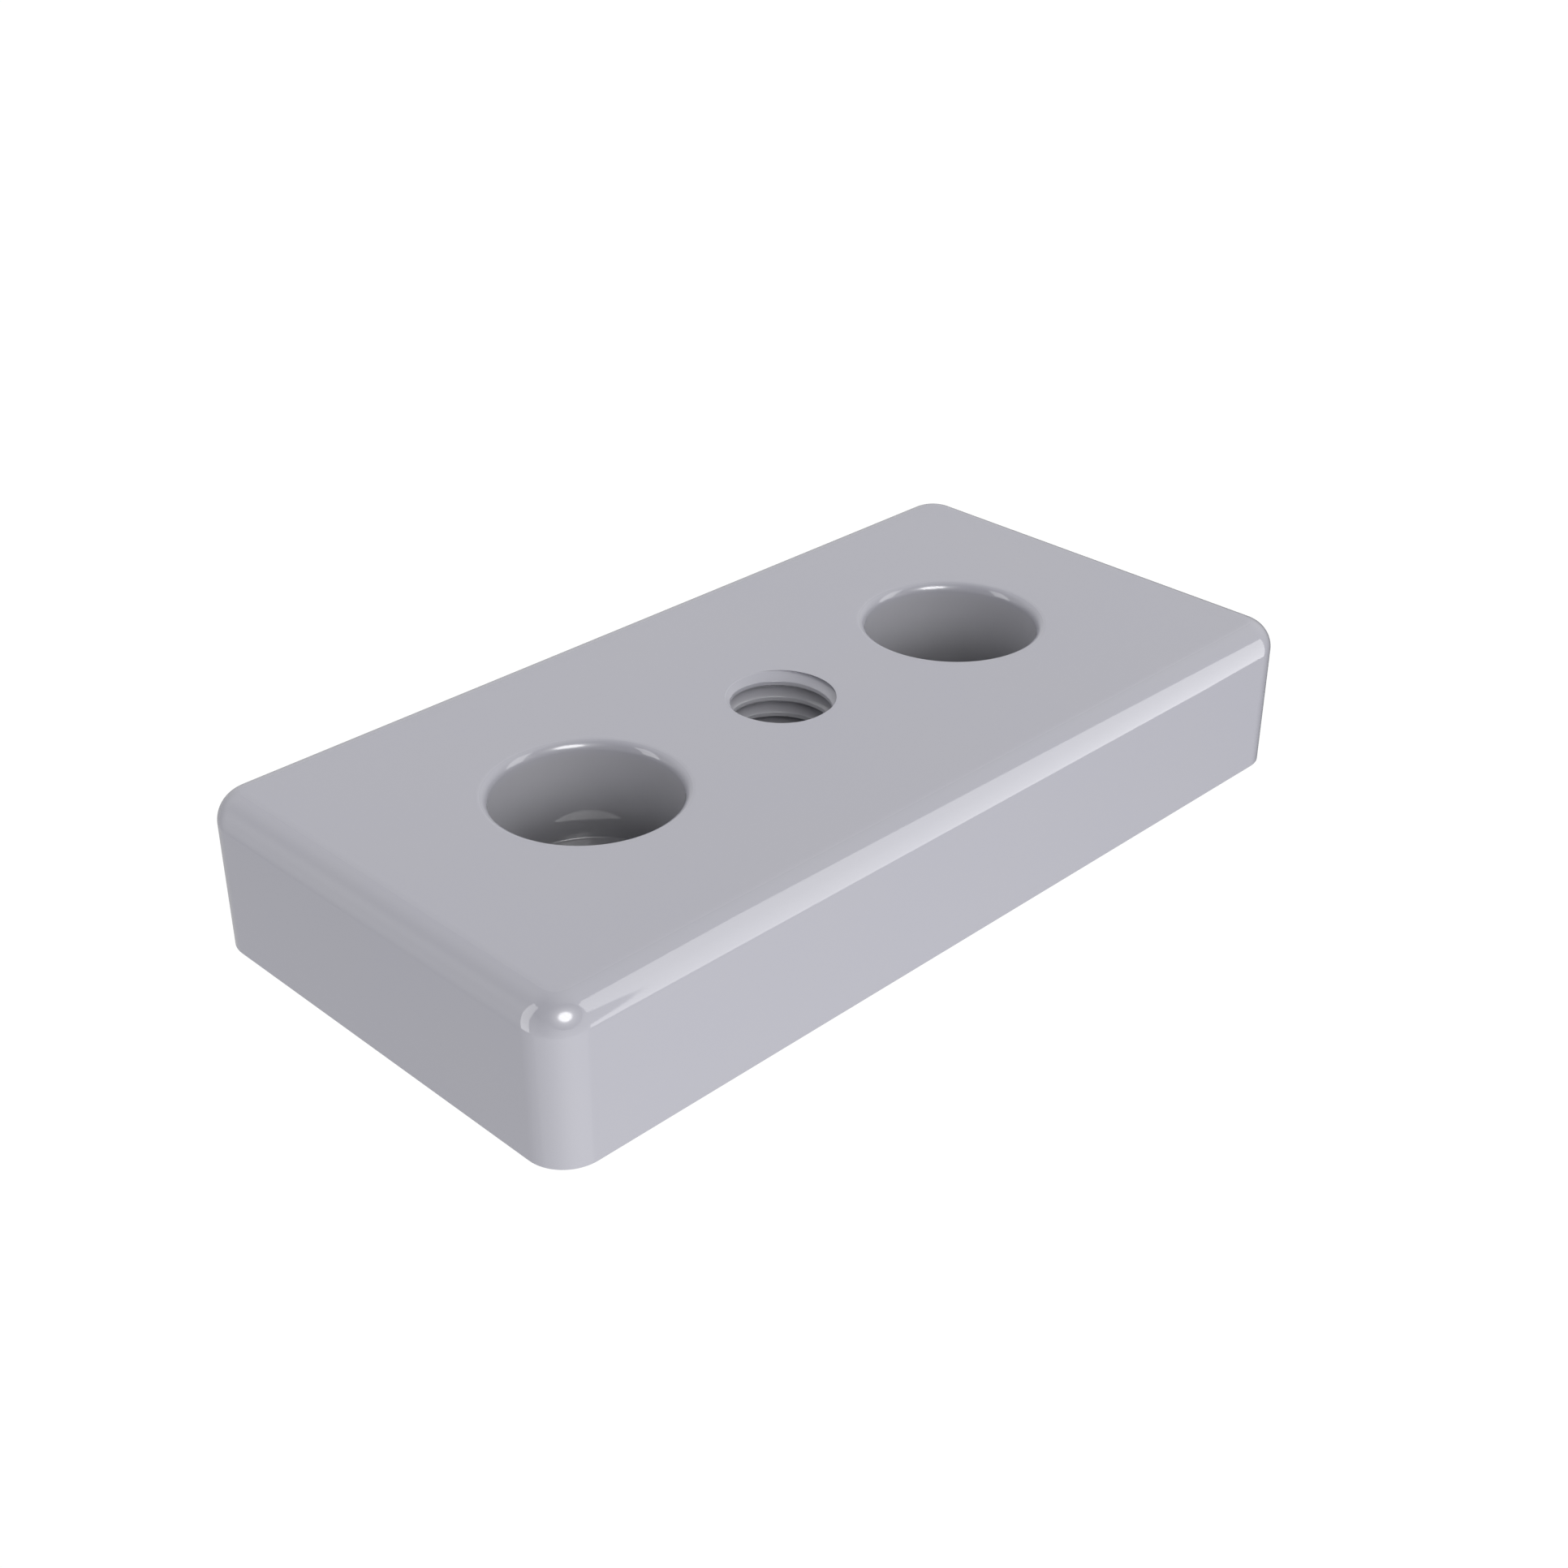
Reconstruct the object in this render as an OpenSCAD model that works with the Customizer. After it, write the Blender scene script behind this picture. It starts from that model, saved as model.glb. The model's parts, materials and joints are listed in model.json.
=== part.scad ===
// Base plate: a machined block with rounded top edges. A tapped hole goes through its middle,
// and a counterbored hole on each side takes a cap screw that holds the plate down.
// The origin is at the middle of the underside, with the length along X and the top face at +Z.

/* [Plate] */
// Length of the plate, along X
plate_length = 100; // [80:1:200]
// Width of the plate, along Y
plate_width = 50; // [30:1:100]
// Thickness from the underside to the top face
plate_thickness = 16; // [13:0.5:30]
// Radius of the four upright corners
corner_radius = 4; // [1:0.25:12]
// Radius of the round along all the top edges, kept smaller than the corners
top_edge_round = 3; // [0.5:0.25:6]

/* [Screw holes] */
// Distance between the centres of the two screw holes
hole_spacing = 50; // [40:1:60]
// Diameter of each hole for the shank of an M10 screw
shank_hole_diameter = 11; // [6:0.1:14]
// Diameter of each pocket for the screw's head
head_pocket_diameter = 18; // [15:0.1:22]
// Depth of each pocket below the top face
head_pocket_depth = 10.6; // [5:0.1:12]
// Radius of the round from the top face into each pocket
pocket_rim_round = 1; // [0.2:0.1:2]
// Radius that the cutter leaves between a pocket's wall and its floor
pocket_floor_round = 0.2; // [0.1:0.05:1]

/* [Tapped hole] */
// Nominal diameter of the thread in the middle hole, M12
thread_diameter = 12; // [6:1:16]
// Pitch of that thread
thread_pitch = 1.75; // [1:0.25:2]

/* [Hidden] */
$fn = 96;
// What a cutter runs on past the faces that it opens
overrun = 1;
// The smallest radius that the top round leaves at a corner
corner_land = 0.25;
edge_round = min(top_edge_round, corner_radius - corner_land);
// Depth of the thread, five eighths of the height that a sharp thread of this pitch would
// have at its 60 degree flanks. The hole is drilled to the inner diameter that this leaves
thread_depth = 5 / 8 * sqrt(3) / 2 * thread_pitch;
tap_bore_diameter = thread_diameter - 2 * thread_depth;
shank_hole_radius = shank_hole_diameter / 2;
head_pocket_radius = head_pocket_diameter / 2;

// A quarter of a disc, its square corner at the origin
module quarter_disc(radius) {
    intersection() {
        circle(r = radius);
        square(radius);
    }
}

// Section of an edge of the plate, from a line inside it out to its side face:
// a sharp foot, a straight side and the top round
module edge_section(reach) {
    square([reach - edge_round, plate_thickness]);
    square([reach, plate_thickness - edge_round]);
    translate([reach - edge_round, plate_thickness - edge_round])
        quarter_disc(edge_round);
}

// The middle of the plate, between the corners, over its full width
module middle_slab() {
    rotate([90, 0, 90])
        linear_extrude(height = plate_length - 2 * corner_radius, center = true)
            for (side = [0, 1])
                mirror([side, 0])
                    edge_section(plate_width / 2);
}

// One end of the plate: a strip as wide as the corners' radius, and its two corners
module plate_end() {
    corner_y = plate_width / 2 - corner_radius;
    translate([plate_length / 2 - corner_radius, 0, 0]) {
        rotate([90, 0, 0])
            linear_extrude(height = 2 * corner_y, center = true)
                edge_section(corner_radius);
        for (side = [0, 1])
            mirror([0, side, 0])
                translate([0, corner_y, 0])
                    rotate_extrude(angle = 90)
                        edge_section(corner_radius);
    }
}

// Section of a head pocket, with the top face at y = 0: the floor's corner is rounded,
// and the mouth flares out in a round
module pocket_section() {
    floor_y = -head_pocket_depth;
    translate([0, floor_y])
        square([head_pocket_radius - pocket_floor_round, head_pocket_depth]);
    translate([0, floor_y + pocket_floor_round])
        square([head_pocket_radius, head_pocket_depth - pocket_floor_round]);
    translate([head_pocket_radius - pocket_floor_round, floor_y + pocket_floor_round])
        mirror([0, 1])
            quarter_disc(pocket_floor_round);
    difference() {
        mouth_radius = head_pocket_radius + pocket_rim_round;
        translate([0, -pocket_rim_round])
            square([mouth_radius, pocket_rim_round + overrun]);
        translate([mouth_radius, -pocket_rim_round])
            circle(r = pocket_rim_round);
    }
}

// What the cutters take out for one screw: the shank's hole and the pocket above it
module screw_cut() {
    floor_z = plate_thickness - head_pocket_depth;
    translate([0, 0, -overrun])
        cylinder(r = shank_hole_radius, h = floor_z + 2 * overrun);
    translate([0, 0, plate_thickness])
        rotate_extrude()
            pocket_section();
}

// The hole in the middle, drilled for the thread, right through
module tap_bore_cut() {
    translate([0, 0, -overrun])
        cylinder(d = tap_bore_diameter, h = plate_thickness + 2 * overrun);
}

module base_plate() {
    color([0.72, 0.72, 0.75])
        difference() {
            union() {
                middle_slab();
                for (turn = [0, 180])
                    rotate(turn)
                        plate_end();
            }
            for (side = [-1, 1])
                translate([side * hole_spacing / 2, 0, 0])
                    screw_cut();
            tap_bore_cut();
        }
}

base_plate();
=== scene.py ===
import json
from math import cos, pi, radians, sin, tan

import bmesh
import bpy
from mathutils import Matrix, Vector


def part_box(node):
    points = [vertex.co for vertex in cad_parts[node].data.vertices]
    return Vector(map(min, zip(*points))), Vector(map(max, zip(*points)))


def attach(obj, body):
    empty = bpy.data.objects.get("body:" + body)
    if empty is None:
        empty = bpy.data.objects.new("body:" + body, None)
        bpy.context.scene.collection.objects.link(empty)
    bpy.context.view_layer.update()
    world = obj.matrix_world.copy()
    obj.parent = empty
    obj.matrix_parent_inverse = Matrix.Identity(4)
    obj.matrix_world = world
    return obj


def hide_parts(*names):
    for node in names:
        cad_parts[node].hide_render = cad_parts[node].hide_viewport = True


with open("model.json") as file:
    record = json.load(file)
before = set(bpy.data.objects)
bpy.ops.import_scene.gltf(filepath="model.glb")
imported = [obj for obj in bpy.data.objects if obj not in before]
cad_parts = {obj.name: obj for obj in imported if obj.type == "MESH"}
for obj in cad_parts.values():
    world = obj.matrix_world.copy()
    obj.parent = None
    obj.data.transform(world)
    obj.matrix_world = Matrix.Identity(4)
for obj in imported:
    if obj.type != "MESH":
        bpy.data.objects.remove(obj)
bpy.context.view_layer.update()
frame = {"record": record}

# The plate's block: a length of rectangular steel bar, squared up, with its four upright corners
# milled round and a slightly smaller round run along all the top edges and over the corners. The
# foot is left sharp.
MM = 0.001
block_low, block_high = (Vector(corner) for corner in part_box("base_plate"))
block_size = block_high - block_low
thickness = block_size.z
corner_radius = 4 * MM
top_round = 3 * MM
corner_steps = 28
top_round_steps = 20


def round_edges(bm, edges, radius, steps):
    bmesh.ops.bevel(
        bm,
        geom=edges,
        offset=radius,
        offset_type="OFFSET",
        segments=steps,
        profile=0.5,
        affect="EDGES",
        clamp_overlap=False,
        material=-1,
    )


def finished_object(bm, name):
    """A new object at the origin with that mesh, its faces turned outwards."""
    bmesh.ops.recalc_face_normals(bm, faces=bm.faces)
    mesh = bpy.data.meshes.new(name)
    bm.to_mesh(mesh)
    bm.free()
    made = bpy.data.objects.new(name, mesh)
    bpy.context.collection.objects.link(made)
    return made


block = bmesh.new()
bmesh.ops.create_cube(block, size=1)
bmesh.ops.scale(block, vec=block_size, verts=block.verts)
bmesh.ops.translate(block, vec=(block_low + block_high) / 2, verts=block.verts)
uprights = [
    edge for edge in block.edges
    if abs((edge.verts[0].co - edge.verts[1].co).z) > thickness / 2
]
round_edges(block, uprights, corner_radius, corner_steps)
top_face = max(block.faces, key=lambda face: face.calc_center_median().z)
round_edges(block, list(top_face.edges), top_round, top_round_steps)
plate = finished_object(block, "plate")

# The two screw holes: drilled through for an M10 shank, then counterbored for the screw's head.
# The cutter leaves a small round at the pocket's floor, and its rim is blended into the top face.
mounts = {mount["name"]: mount for mount in frame["record"]["mounts"]}
rim_round = 1 * MM
rim_round_steps = 12
floor_round = 0.2 * MM
floor_round_steps = 6
pocket_depth = 10.6 * MM
hole_steps = 192
# How far a cutter runs on past the faces that it opens
overrun = 1 * MM
# Corners of a cutter that lie nearer than this are one corner
same_corner = 0.001 * MM


def arc(centre, radius, start, end, steps):
    """Points on an arc from start to end, both in degrees and both included."""
    angles = [radians(start + (end - start) * i / steps) for i in range(steps + 1)]
    return [(centre[0] + radius * cos(a), centre[1] + radius * sin(a)) for a in angles]


def line_through(outline):
    """A new bmesh with a line through those points, each a distance from the axis and a height."""
    bm = bmesh.new()
    points = [bm.verts.new((radius, 0, height)) for radius, height in outline]
    for first, second in zip(points, points[1:]):
        bm.edges.new((first, second))
    return bm


def screw_hole_cutter(side):
    """What the drill and the counterbore take out for the screw on that side."""
    pocket = mounts[side + "_head_pocket"]
    pocket_radius = pocket["dims"]["r_mm"] * MM
    shank_radius = mounts[side + "_shank_hole"]["dims"]["r_mm"] * MM
    mouth_radius = pocket_radius + rim_round
    pocket_floor = thickness - pocket_depth
    outline = [(0, thickness + overrun), (mouth_radius, thickness + overrun)]
    outline += arc((mouth_radius, thickness - rim_round), rim_round, 90, 180, rim_round_steps)
    floor_corner = (pocket_radius - floor_round, pocket_floor + floor_round)
    outline += arc(floor_corner, floor_round, 0, -90, floor_round_steps)
    outline += [(shank_radius, pocket_floor), (shank_radius, -overrun), (0, -overrun)]
    bm = line_through(outline)
    bmesh.ops.spin(
        bm,
        geom=bm.verts[:] + bm.edges[:],
        axis=(0, 0, 1),
        cent=(0, 0, 0),
        angle=2 * pi,
        steps=hole_steps,
        use_merge=True,
    )
    bmesh.ops.remove_doubles(bm, verts=bm.verts, dist=same_corner)
    centre = (pocket["pos_m"][0], pocket["pos_m"][1], block_low.z)
    bmesh.ops.translate(bm, vec=centre, verts=bm.verts)
    return finished_object(bm, side + "_screw_hole")


cutters = [screw_hole_cutter("left"), screw_hole_cutter("right")]

# The tapped hole: drilled to the thread's inner diameter and cut with an M12 tap, right-handed,
# straight through. The tap leaves the crests' edges slightly rounded, and its groove runs out
# through both faces.
thread_pitch = 1.75 * MM
thread_inner = mounts["tapped_hole"]["dims"]["r_mm"] * MM
# The slope of the thread's flanks, in degrees
flank_slope = 30
crest_width = 0.4 * MM
root_width = 0.1 * MM
crest_edge_round = 0.08 * MM
crest_edge_steps = 3
# Where round the hole the middle of the groove comes out of the top face, in degrees
groove_angle = 57
turn_steps = 120
# How many turns the tap has to spare beyond each face
spare_turns = 2


def thread_outline():
    """One pitch of the thread, from the middle of a crest up to the middle of the next."""
    flank_height = (thread_pitch - crest_width - root_width) / 2
    thread_outer = thread_inner + flank_height / tan(radians(flank_slope))
    crest_reach = crest_width / 2 - crest_edge_round * tan(radians(flank_slope))
    round_centre = (thread_inner + crest_edge_round, crest_reach)
    lower_side = [(thread_inner, 0)]
    lower_side += arc(round_centre, crest_edge_round, 180, 90 + flank_slope, crest_edge_steps)
    lower_side.append((thread_outer, (thread_pitch - root_width) / 2))
    return lower_side + [(radius, thread_pitch - height) for radius, height in reversed(lower_side)]


def tap_cutter():
    """The shape that a tap sweeps: one pitch of the thread, screwed up through the plate."""
    bm = line_through(thread_outline())
    turns = int(thickness / thread_pitch) + 2 * spare_turns
    bmesh.ops.spin(
        bm,
        geom=bm.verts[:] + bm.edges[:],
        axis=(0, 0, 1),
        cent=(0, 0, 0),
        dvec=(0, 0, thread_pitch / turn_steps),
        angle=2 * pi * turns,
        steps=turns * turn_steps,
    )
    bmesh.ops.remove_doubles(bm, verts=bm.verts, dist=same_corner)
    # The lower and the upper end are each closed with a blunt point
    middle_height = thread_pitch * (turns + 1) / 2
    open_edges = [edge for edge in bm.edges if edge.is_boundary]
    lower_end = [edge for edge in open_edges if edge.verts[0].co.z < middle_height]
    upper_end = [edge for edge in open_edges if edge.verts[0].co.z > middle_height]
    for end_edges, outwards in ((lower_end, -overrun), (upper_end, overrun)):
        heights = [vert.co.z for edge in end_edges for vert in edge.verts]
        point = bm.verts.new((0, 0, sum(heights) / len(heights) + outwards))
        for edge in end_edges:
            bm.faces.new((edge.verts[0], edge.verts[1], point))
    up = thickness - thread_pitch / 2 - thread_pitch * (turns - spare_turns)
    bmesh.ops.translate(bm, vec=(0, 0, up), verts=bm.verts)
    turned = Matrix.Rotation(radians(groove_angle), 3, "Z")
    bmesh.ops.rotate(bm, cent=(0, 0, 0), matrix=turned, verts=bm.verts)
    return finished_object(bm, "tap")


cutters.append(tap_cutter())

# The machining: the three holes are cut out of the block, and the edges keep what the tools left.
# A true edge is crisp, and the flat faces stay flat up to the line where a round begins.
for cutter in cutters:
    cut = plate.modifiers.new(cutter.name, "BOOLEAN")
    cut.operation = "DIFFERENCE"
    cut.solver = "EXACT"
    cut.object = cutter
cut_plate = plate.evaluated_get(bpy.context.evaluated_depsgraph_get())
cut_mesh = bpy.data.meshes.new_from_object(cut_plate)
plate.modifiers.clear()
plate.data = cut_mesh
for cutter in cutters:
    bpy.data.objects.remove(cutter)

crisp_angle = radians(30)
# Corners nearer than this are one corner. The flat faces have holes in them, so they are cut into
# triangles first, because the merge would close the slits that join them to their holes
same_cut_corner = 0.0005 * MM
machined = bmesh.new()
machined.from_mesh(plate.data)
many_sided = [face for face in machined.faces if len(face.verts) > 4]
bmesh.ops.triangulate(machined, faces=many_sided)
bmesh.ops.remove_doubles(machined, verts=machined.verts, dist=same_cut_corner)
for face in machined.faces:
    face.smooth = True
for edge in machined.edges:
    edge.smooth = edge.calc_face_angle(pi) < crisp_angle
machined.to_mesh(plate.data)
machined.free()
weighted = plate.modifiers.new("flat faces", "WEIGHTED_NORMAL")
weighted.keep_sharp = True
weighted.weight = 100
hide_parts("base_plate")
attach(plate, "root")

# The finish: a smooth grey paint with a faint lilac tint, sprayed on the whole plate and into its
# holes, and polished to a high gloss. It is slightly cloudy, with the faintest orange peel.
paint_colour = (0.42, 0.42, 0.476, 1)
cloudy_colour = (0.428, 0.426, 0.47, 1)
cloud_size = 12 * MM
polish_size = 6 * MM
most_polished = 0.03
least_polished = 0.055
peel_size = 1.5 * MM
peel_height = 0.001 * MM
# The flat top face is taken to be rubbed down to satin, so that what is screwed on stays put. Its
# colour there is made slightly lighter: a painted sheen for the gloss it loses
painted_top_sheen = (1.022, 1.022, 1.018, 1)
satin_roughness = 0.42
satin_edge = 0.14 * MM
# In the holes the colour is painted: less lilac on the walls, to offset the lilac light that bounces
# between them, and darker towards the bottom, a painted shade.
# These tints and depths were fitted to the tones of the holes
painted_bounce_tint = (1, 1, 0.963, 1)
painted_bounce_tint_depths = (0.3 * MM, 2 * MM)
painted_deep_shade = (0.52, 0.52, 0.51, 1)
painted_deep_shade_depths = (3 * MM, 12 * MM)
# All that lies nearer than this to a hole's axis, and above the foot, is in the hole or at its rim
hole_reach = 11 * MM
foot_band = 0.02 * MM


def soft_pattern(nodes, links, coordinates, size, detail):
    """A soft random pattern with patches of about that size on the piece."""
    pattern = nodes.new("ShaderNodeTexNoise")
    pattern.inputs["Scale"].default_value = 1 / size
    pattern.inputs["Detail"].default_value = detail
    links.new(coordinates.outputs["Object"], pattern.inputs["Vector"])
    return pattern.outputs["Fac"]


def soft_step(nodes, links, value, start, end):
    """A share that goes softly from 0 where the value is start to 1 where it is end."""
    share = nodes.new("ShaderNodeMapRange")
    share.interpolation_type = "SMOOTHSTEP"
    share.inputs["From Min"].default_value = start
    share.inputs["From Max"].default_value = end
    links.new(value, share.inputs["Value"])
    return share.outputs["Result"]


def calculated(nodes, links, operation, value, number):
    """The value with a number: subtracted, compared and so on."""
    node = nodes.new("ShaderNodeMath")
    node.operation = operation
    node.inputs[1].default_value = number
    links.new(value, node.inputs[0])
    return node.outputs["Value"]


def product(nodes, links, first, second):
    node = nodes.new("ShaderNodeMath")
    node.operation = "MULTIPLY"
    links.new(first, node.inputs[0])
    links.new(second, node.inputs[1])
    return node.outputs["Value"]


def in_holes(nodes, links, place):
    """1 in the three holes and near their rims, 0 elsewhere: where the painted tint and painted
    shade go.
    """
    half_spacing = mounts["right_head_pocket"]["pos_m"][0] / 2
    # Folded twice about X, all three holes lie on one axis
    folded = place.outputs["X"]
    for _ in range(2):
        folded = calculated(nodes, links, "ABSOLUTE", folded, 0)
        folded = calculated(nodes, links, "SUBTRACT", folded, half_spacing)
    across = nodes.new("ShaderNodeCombineXYZ")
    links.new(folded, across.inputs["X"])
    links.new(place.outputs["Y"], across.inputs["Y"])
    distance = nodes.new("ShaderNodeVectorMath")
    distance.operation = "LENGTH"
    links.new(across.outputs["Vector"], distance.inputs[0])
    near_hole = calculated(nodes, links, "LESS_THAN", distance.outputs["Value"], hole_reach)
    off_foot = calculated(nodes, links, "GREATER_THAN", place.outputs["Z"], foot_band)
    return product(nodes, links, near_hole, off_foot)


def gloss_paint():
    paint = bpy.data.materials.new("grey gloss paint")
    paint.use_nodes = True
    nodes, links = paint.node_tree.nodes, paint.node_tree.links
    shader = nodes["Principled BSDF"]
    coordinates = nodes.new("ShaderNodeTexCoord")
    place = nodes.new("ShaderNodeSeparateXYZ")
    links.new(coordinates.outputs["Object"], place.inputs["Vector"])
    height = place.outputs["Z"]

    colour = nodes.new("ShaderNodeMix")
    colour.data_type = "RGBA"
    colour.inputs["A"].default_value = paint_colour
    colour.inputs["B"].default_value = cloudy_colour
    clouds = soft_pattern(nodes, links, coordinates, cloud_size, detail=2)
    links.new(clouds, colour.inputs["Factor"])

    # The top face's share: there it is satin, and its colour is lightened as a painted sheen
    satin_and_painted_sheen = soft_step(nodes, links, height, thickness - satin_edge, thickness)
    tints = [(satin_and_painted_sheen, painted_top_sheen)]
    # In the holes: a painted tint against the bounced lilac light, and painted shade darker towards
    # the bottom
    holes = in_holes(nodes, links, place)
    for (start, end), tint in ((painted_bounce_tint_depths, painted_bounce_tint), (painted_deep_shade_depths, painted_deep_shade)):
        depth = soft_step(nodes, links, height, thickness - start, thickness - end)
        tints.append((product(nodes, links, holes, depth), tint))
    for share, tint in tints:
        tinted = nodes.new("ShaderNodeMix")
        tinted.data_type = "RGBA"
        tinted.blend_type = "MULTIPLY"
        tinted.inputs["B"].default_value = tint
        links.new(share, tinted.inputs["Factor"])
        links.new(colour.outputs["Result"], tinted.inputs["A"])
        colour = tinted
    links.new(colour.outputs["Result"], shader.inputs["Base Color"])

    gloss = nodes.new("ShaderNodeMapRange")
    gloss.inputs["To Min"].default_value = most_polished
    gloss.inputs["To Max"].default_value = least_polished
    polish = soft_pattern(nodes, links, coordinates, polish_size, detail=3)
    links.new(polish, gloss.inputs["Value"])
    roughness = nodes.new("ShaderNodeMath")
    roughness.operation = "MULTIPLY_ADD"
    roughness.inputs[1].default_value = satin_roughness
    links.new(satin_and_painted_sheen, roughness.inputs[0])
    links.new(gloss.outputs["Result"], roughness.inputs[2])
    links.new(roughness.outputs["Value"], shader.inputs["Roughness"])

    bump = nodes.new("ShaderNodeBump")
    bump.inputs["Strength"].default_value = 1
    bump.inputs["Distance"].default_value = peel_height
    peel = soft_pattern(nodes, links, coordinates, peel_size, detail=1)
    links.new(peel, bump.inputs["Height"])
    links.new(bump.outputs["Normal"], shader.inputs["Normal"])

    shader.inputs["IOR"].default_value = 1.5
    return paint


plate.data.materials.clear()
plate.data.materials.append(gloss_paint())

# The floor: a plain white sweep that runs up into a white dome all round. It is so evenly lit
# that no shadow shows on it, and it throws no light of its own back on the plate.
dome_radius = 3
white_brightness = 1.02
# The floor keeps this far under the plate, because two faces in one plane would show through
# each other
floor_drop = 0.02 * MM
sweep = bmesh.new()
bmesh.ops.create_uvsphere(sweep, u_segments=64, v_segments=32, radius=dome_radius)
bmesh.ops.bisect_plane(
    sweep,
    geom=sweep.verts[:] + sweep.edges[:] + sweep.faces[:],
    plane_co=(0, 0, 0),
    plane_no=(0, 0, -1),
    clear_outer=True,
)
bmesh.ops.holes_fill(sweep, edges=[edge for edge in sweep.edges if edge.is_boundary], sides=0)
bmesh.ops.translate(sweep, vec=(0, 0, -floor_drop), verts=sweep.verts)
floor = finished_object(sweep, "floor")


def glowing(name, strength):
    """A material that shines evenly, and the node that makes it shine."""
    made = bpy.data.materials.new(name)
    made.use_nodes = True
    nodes = made.node_tree.nodes
    nodes.clear()
    glow = nodes.new("ShaderNodeEmission")
    glow.inputs["Strength"].default_value = strength
    surface = nodes.new("ShaderNodeOutputMaterial")
    made.node_tree.links.new(glow.outputs["Emission"], surface.inputs["Surface"])
    return made, glow


def show_only_inside(material, glow):
    """Makes it see-through from the back, so that a camera under the floor sees the plate."""
    nodes, links = material.node_tree.nodes, material.node_tree.links
    side_seen = nodes.new("ShaderNodeNewGeometry")
    see_through = nodes.new("ShaderNodeBsdfTransparent")
    shown = nodes.new("ShaderNodeMixShader")
    links.new(side_seen.outputs["Backfacing"], shown.inputs["Fac"])
    links.new(see_through.outputs["BSDF"], shown.inputs[1])
    links.new(glow.outputs["Emission"], shown.inputs[2])
    links.new(shown.outputs["Shader"], nodes["Material Output"].inputs["Surface"])


white, white_glow = glowing("white sweep", white_brightness)
show_only_inside(white, white_glow)
floor.data.materials.append(white)
floor.visible_diffuse = False
floor.visible_glossy = False
floor.visible_transmission = False
floor.visible_shadow = False

# The studio: a round soft light in front of the plate, a tall strip light at either side and a
# low panel, which its gloss mirrors, and bright walls all round that light it softly, most from
# the front.
light_distance = 8
# How the round light fades: degrees off its middle, and the share of its brightness there. The
# steps were read off tones measured across the highlight on the front corner, and rounded
fade_steps = [
    (11.5, 1),
    (14, 0.7),
    (16, 0.4),
    (18, 0.24),
    (20, 0.17),
    (24, 0.11),
    (30, 0.05),
    (40, 0),
]
strip_low = -26.3
strip_high = 47.5
strip_radiance = 3


def direction(azimuth, elevation):
    """The unit vector that points there: azimuth 0 is in front of the long side, 90 on the right."""
    around, up = radians(azimuth), radians(elevation)
    return Vector((sin(around) * cos(up), -cos(around) * cos(up), sin(up)))


def only_mirrored(light):
    light.visible_camera = False
    light.visible_diffuse = False
    light.visible_transmission = False
    light.visible_shadow = False


def round_light(azimuth, elevation, half_angle, radiance):
    """A diffuser with a bright middle that fades out towards its edge."""
    place = direction(azimuth, elevation) * light_distance
    bm = bmesh.new()
    radius = light_distance * tan(radians(half_angle))
    bmesh.ops.create_circle(bm, cap_ends=True, radius=radius, segments=96)
    mesh = bpy.data.meshes.new("round light")
    bm.to_mesh(mesh)
    bm.free()
    light = bpy.data.objects.new("round light", mesh)
    light.location = place
    light.rotation_euler = (-place).to_track_quat("Z", "Y").to_euler()
    bpy.context.collection.objects.link(light)
    shine, glow = glowing("round light", radiance)
    nodes, links = shine.node_tree.nodes, shine.node_tree.links
    coordinates = nodes.new("ShaderNodeTexCoord")
    from_middle = nodes.new("ShaderNodeVectorMath")
    from_middle.operation = "LENGTH"
    links.new(coordinates.outputs["Object"], from_middle.inputs[0])
    way_out = nodes.new("ShaderNodeMapRange")
    way_out.inputs["From Max"].default_value = radius
    links.new(from_middle.outputs["Value"], way_out.inputs["Value"])
    fade = nodes.new("ShaderNodeValToRGB")
    ramp = fade.color_ramp
    while len(ramp.elements) < len(fade_steps):
        ramp.elements.new(0.5)
    for element, (degrees_off, share) in zip(ramp.elements, fade_steps):
        element.position = tan(radians(degrees_off)) / tan(radians(half_angle))
        element.color = (share, share, share, 1)
    links.new(way_out.outputs["Result"], fade.inputs["Fac"])
    links.new(fade.outputs["Color"], glow.inputs["Color"])
    light.data.materials.append(shine)
    only_mirrored(light)


def strip_light(name, azimuth, half_width, low, high, radiance):
    """An upright panel that reaches from low to high, all in degrees as seen from the plate."""
    data = bpy.data.lights.new(name, "AREA")
    data.shape = "RECTANGLE"
    bottom = light_distance * tan(radians(low))
    top = light_distance * tan(radians(high))
    data.size = 2 * light_distance * tan(radians(half_width))
    data.size_y = top - bottom
    data.energy = radiance * pi * data.size * data.size_y
    light = bpy.data.objects.new(name, data)
    ahead = direction(azimuth, 0)
    light.location = ahead * light_distance + Vector((0, 0, (bottom + top) / 2))
    light.rotation_euler = (-ahead).to_track_quat("-Z", "Y").to_euler()
    only_mirrored(light)
    bpy.context.collection.objects.link(light)


round_light(azimuth=-22, elevation=34, half_angle=40, radiance=14.5)
strip_light("left strip", -118, 11.5, strip_low, strip_high, strip_radiance)
strip_light("right strip", 44, 12.5, strip_low, strip_high, strip_radiance)
strip_light("low front panel", -36, 65, low=-60, high=-33, radiance=0.27)

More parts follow.
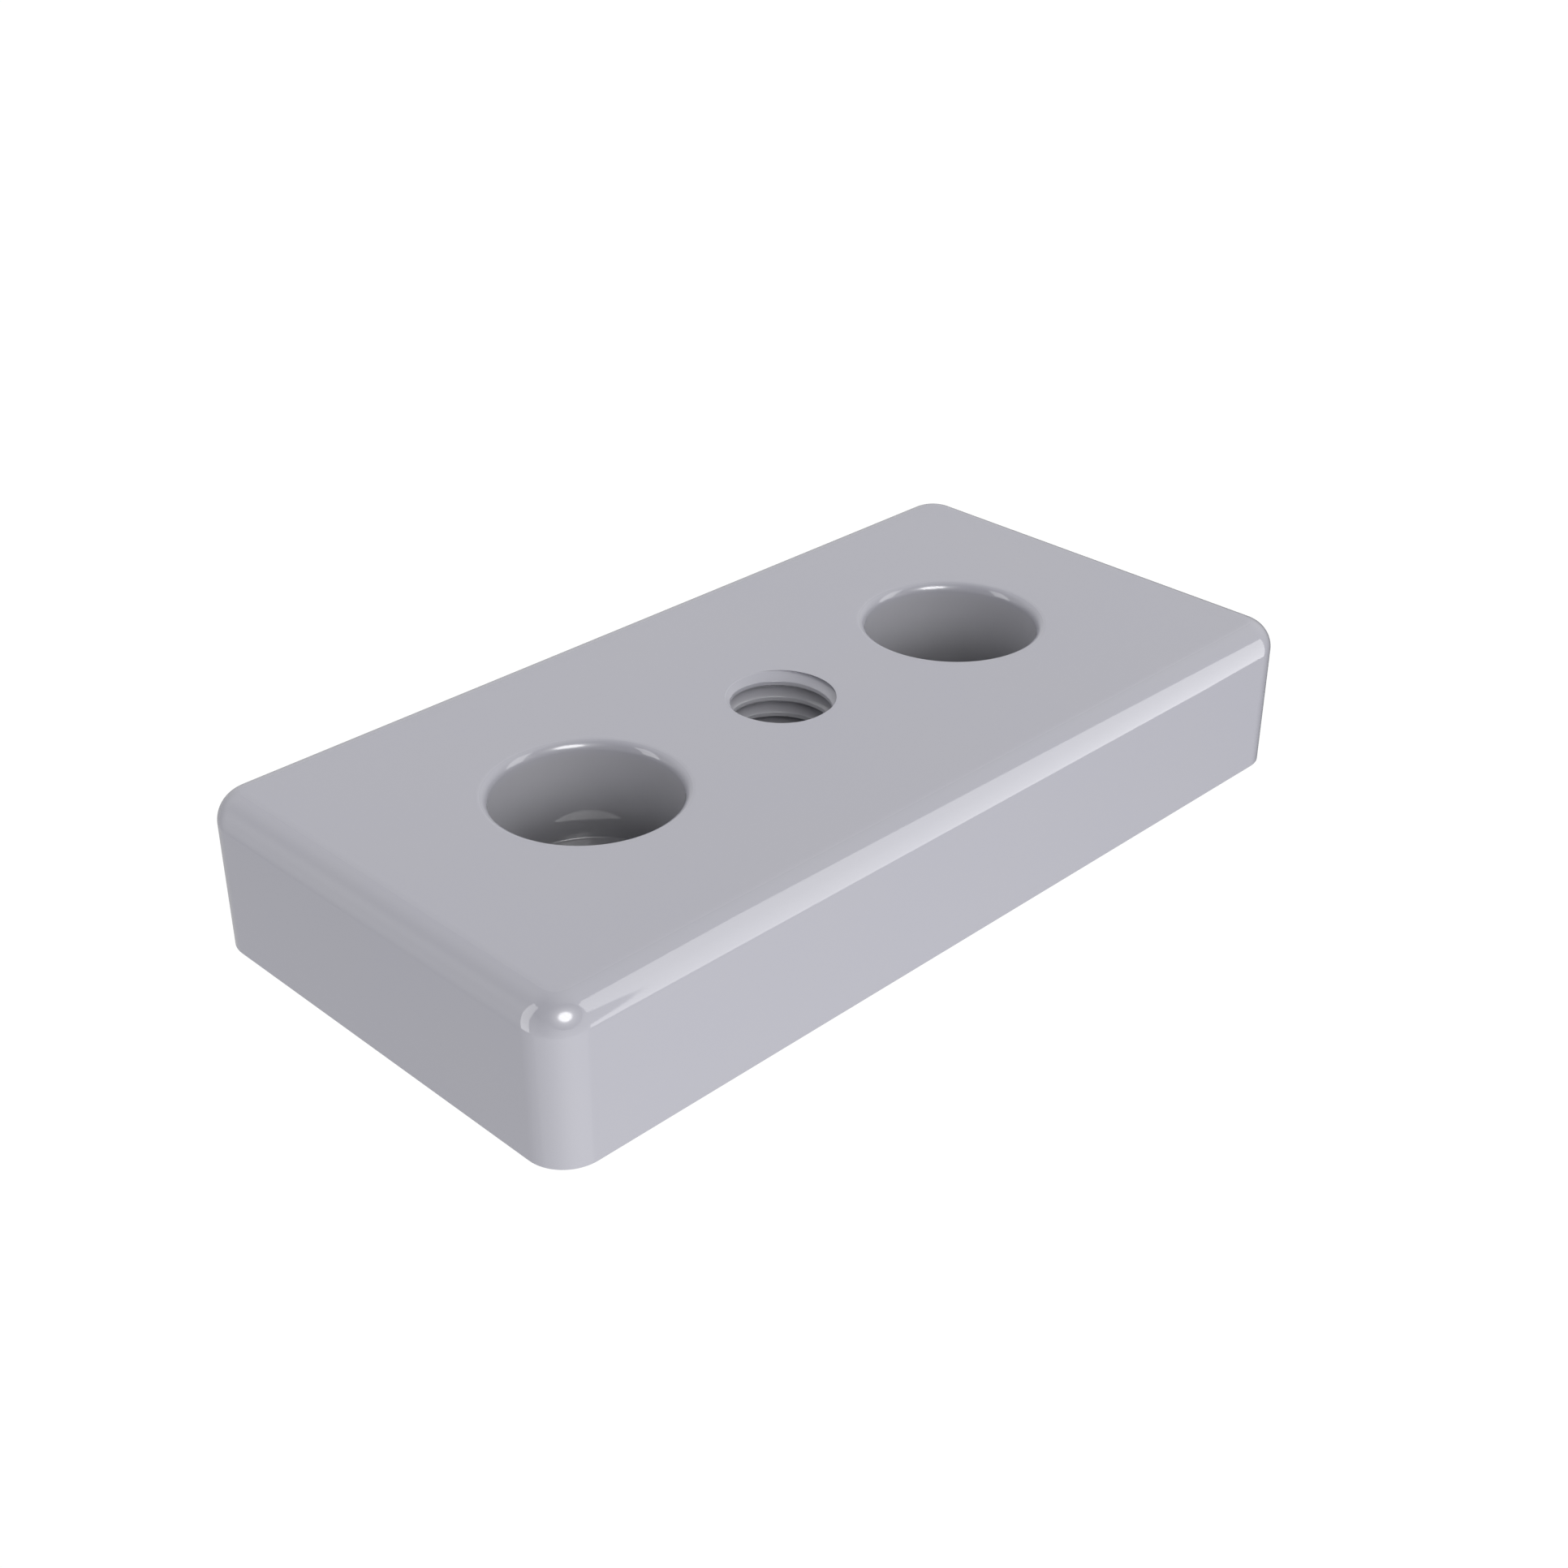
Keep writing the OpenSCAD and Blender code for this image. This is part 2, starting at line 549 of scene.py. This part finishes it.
# The soft light that comes off the walls, as wide patches: azimuth and elevation of the middle,
# how far it reaches round that in degrees, and how bright it is. Which patches there are and how
# bright they are comes from a least-squares fit of trial renders to the plate's tones, rounded
wall_patches = [
    (-30, 35, 40, 1.14),
    (0, 5, 70, 0.57),
    (0, -35, 70, 0.58),
    (-60, -35, 70, 0.6),
    (0, -90, 70, 0.84),
    (60, 45, 70, 0.75),
    (120, 45, 70, 0.62),
    (180, 5, 70, 0.5),
    (-150, 35, 40, 0.61),
    (-120, 0, 40, 0.84),
]


def studio_walls():
    """A world whose brightness in each direction is the sum of the patches that reach there."""
    world = bpy.data.worlds.new("studio")
    world.use_nodes = True
    nodes, links = world.node_tree.nodes, world.node_tree.links
    background = nodes["Background"]
    background.inputs["Color"].default_value = (1, 1, 1, 1)
    coordinates = nodes.new("ShaderNodeTexCoord")
    brightness = None
    for azimuth, elevation, reach, strength in wall_patches:
        towards = nodes.new("ShaderNodeVectorMath")
        towards.operation = "DOT_PRODUCT"
        towards.inputs[1].default_value = direction(azimuth, elevation)
        links.new(coordinates.outputs["Generated"], towards.inputs[0])
        patch = nodes.new("ShaderNodeMapRange")
        patch.interpolation_type = "SMOOTHSTEP"
        patch.inputs["From Min"].default_value = cos(radians(reach))
        patch.inputs["To Max"].default_value = strength
        links.new(towards.outputs["Value"], patch.inputs["Value"])
        total = nodes.new("ShaderNodeMath")
        total.operation = "ADD"
        total.inputs[1].default_value = 0
        links.new(patch.outputs["Result"], total.inputs[0])
        if brightness:
            links.new(brightness.outputs["Value"], total.inputs[1])
        brightness = total
    links.new(brightness.outputs["Value"], background.inputs["Strength"])
    return world


bpy.context.scene.world = studio_walls()
bpy.context.scene.view_settings.view_transform = "Standard"

# The camera: a 50 mm lens on a sensor 36 mm wide. It stands half way round the corner between the
# long side and the end, and looks down at 30 degrees. Its place was fitted to the outline.
camera_data = bpy.data.cameras.new("camera")
camera_data.lens = 50
camera_data.sensor_width = 36
camera_data.clip_start = 0.01
camera = bpy.data.objects.new("camera", camera_data)
camera.location = (-0.13292, -0.13325, 0.11503)
camera.rotation_euler = (radians(60), 0, radians(-45))
bpy.context.collection.objects.link(camera)
bpy.context.scene.camera = camera
